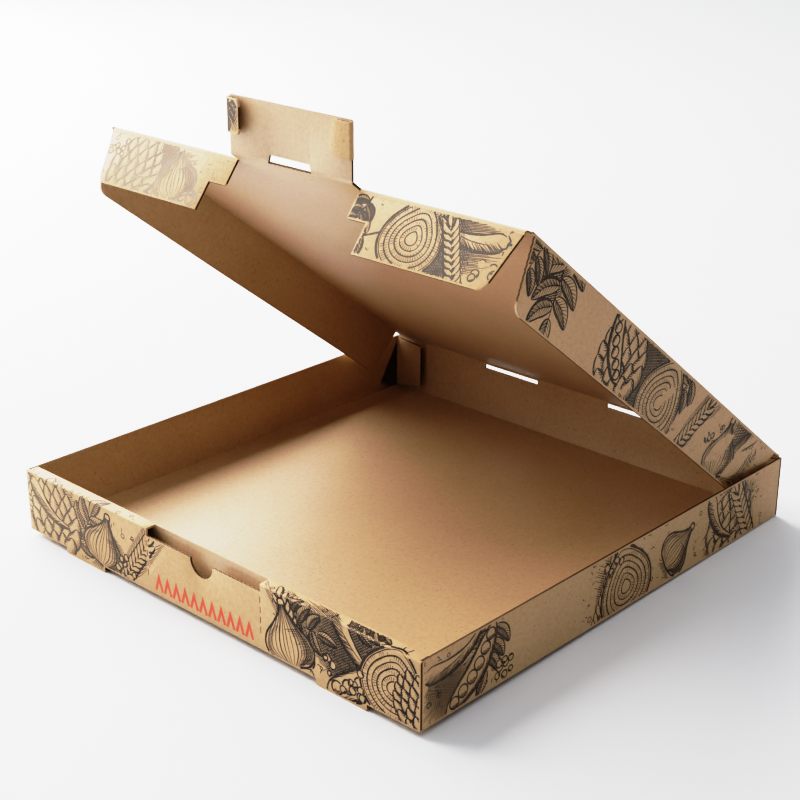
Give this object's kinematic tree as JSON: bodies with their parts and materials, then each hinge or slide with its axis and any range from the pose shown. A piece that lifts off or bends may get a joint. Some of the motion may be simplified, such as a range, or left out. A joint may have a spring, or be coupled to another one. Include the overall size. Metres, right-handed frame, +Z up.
{
  "type": "square lock box",
  "caption": "Square one-piece folding box of thin kraft board with a hinged lid, a roll-over front with a pocket, and a lock tab with folding ears.",
  "frame": {"origin": "middle of the tray's flat underside", "axes": "+Z up, +Y from the roll-over front to the hinge, +X to the right as seen from the front"},
  "size_m": [0.333, 0.34, 0.2857],
  "materials": {
    "kraft_board": "matte"
  },
  "bodies": {
    "tray": {"tray": "kraft_board"},
    "lid": {"lid": "kraft_board"},
    "front_flap_left": {"front_flap_left": "kraft_board"},
    "front_flap_right": {"front_flap_right": "kraft_board"},
    "lock_tab": {"lock_tab": "kraft_board"},
    "lock_ear_left": {"lock_ear_left": "kraft_board"},
    "lock_ear_right": {"lock_ear_right": "kraft_board"}
  },
  "joints": [
    {"name": "lid_hinge", "type": "hinge", "parent": "tray", "child": "lid", "pos_m": [0, 0.16925, 0.04185], "axis": [-1, 0, 0], "range_deg": [-38, 142]},
    {"name": "front_flap_left_fold", "type": "hinge", "parent": "lid", "child": "front_flap_left", "pos_m": [0, -0.08913, 0.24277], "axis": [1, 0, 0], "range_deg": [-90, 80]},
    {"name": "front_flap_right_fold", "type": "hinge", "parent": "lid", "child": "front_flap_right", "pos_m": [0, -0.08913, 0.24277], "axis": [1, 0, 0], "range_deg": [-90, 80]},
    {"name": "lock_tab_fold", "type": "hinge", "parent": "lid", "child": "lock_tab", "pos_m": [0, -0.09483, 0.24817], "axis": [1, 0, 0], "range_deg": [-38, 142]},
    {"name": "lock_ear_left_fold", "type": "hinge", "parent": "lock_tab", "child": "lock_ear_left", "pos_m": [-0.0476, -0.09573, 0.27082], "axis": [0, 0, 1], "range_deg": [-166, 14]},
    {"name": "lock_ear_right_fold", "type": "hinge", "parent": "lock_tab", "child": "lock_ear_right", "pos_m": [0.0476, -0.09573, 0.27082], "axis": [0, 0, -1], "range_deg": [-180, 0]}
  ]
}
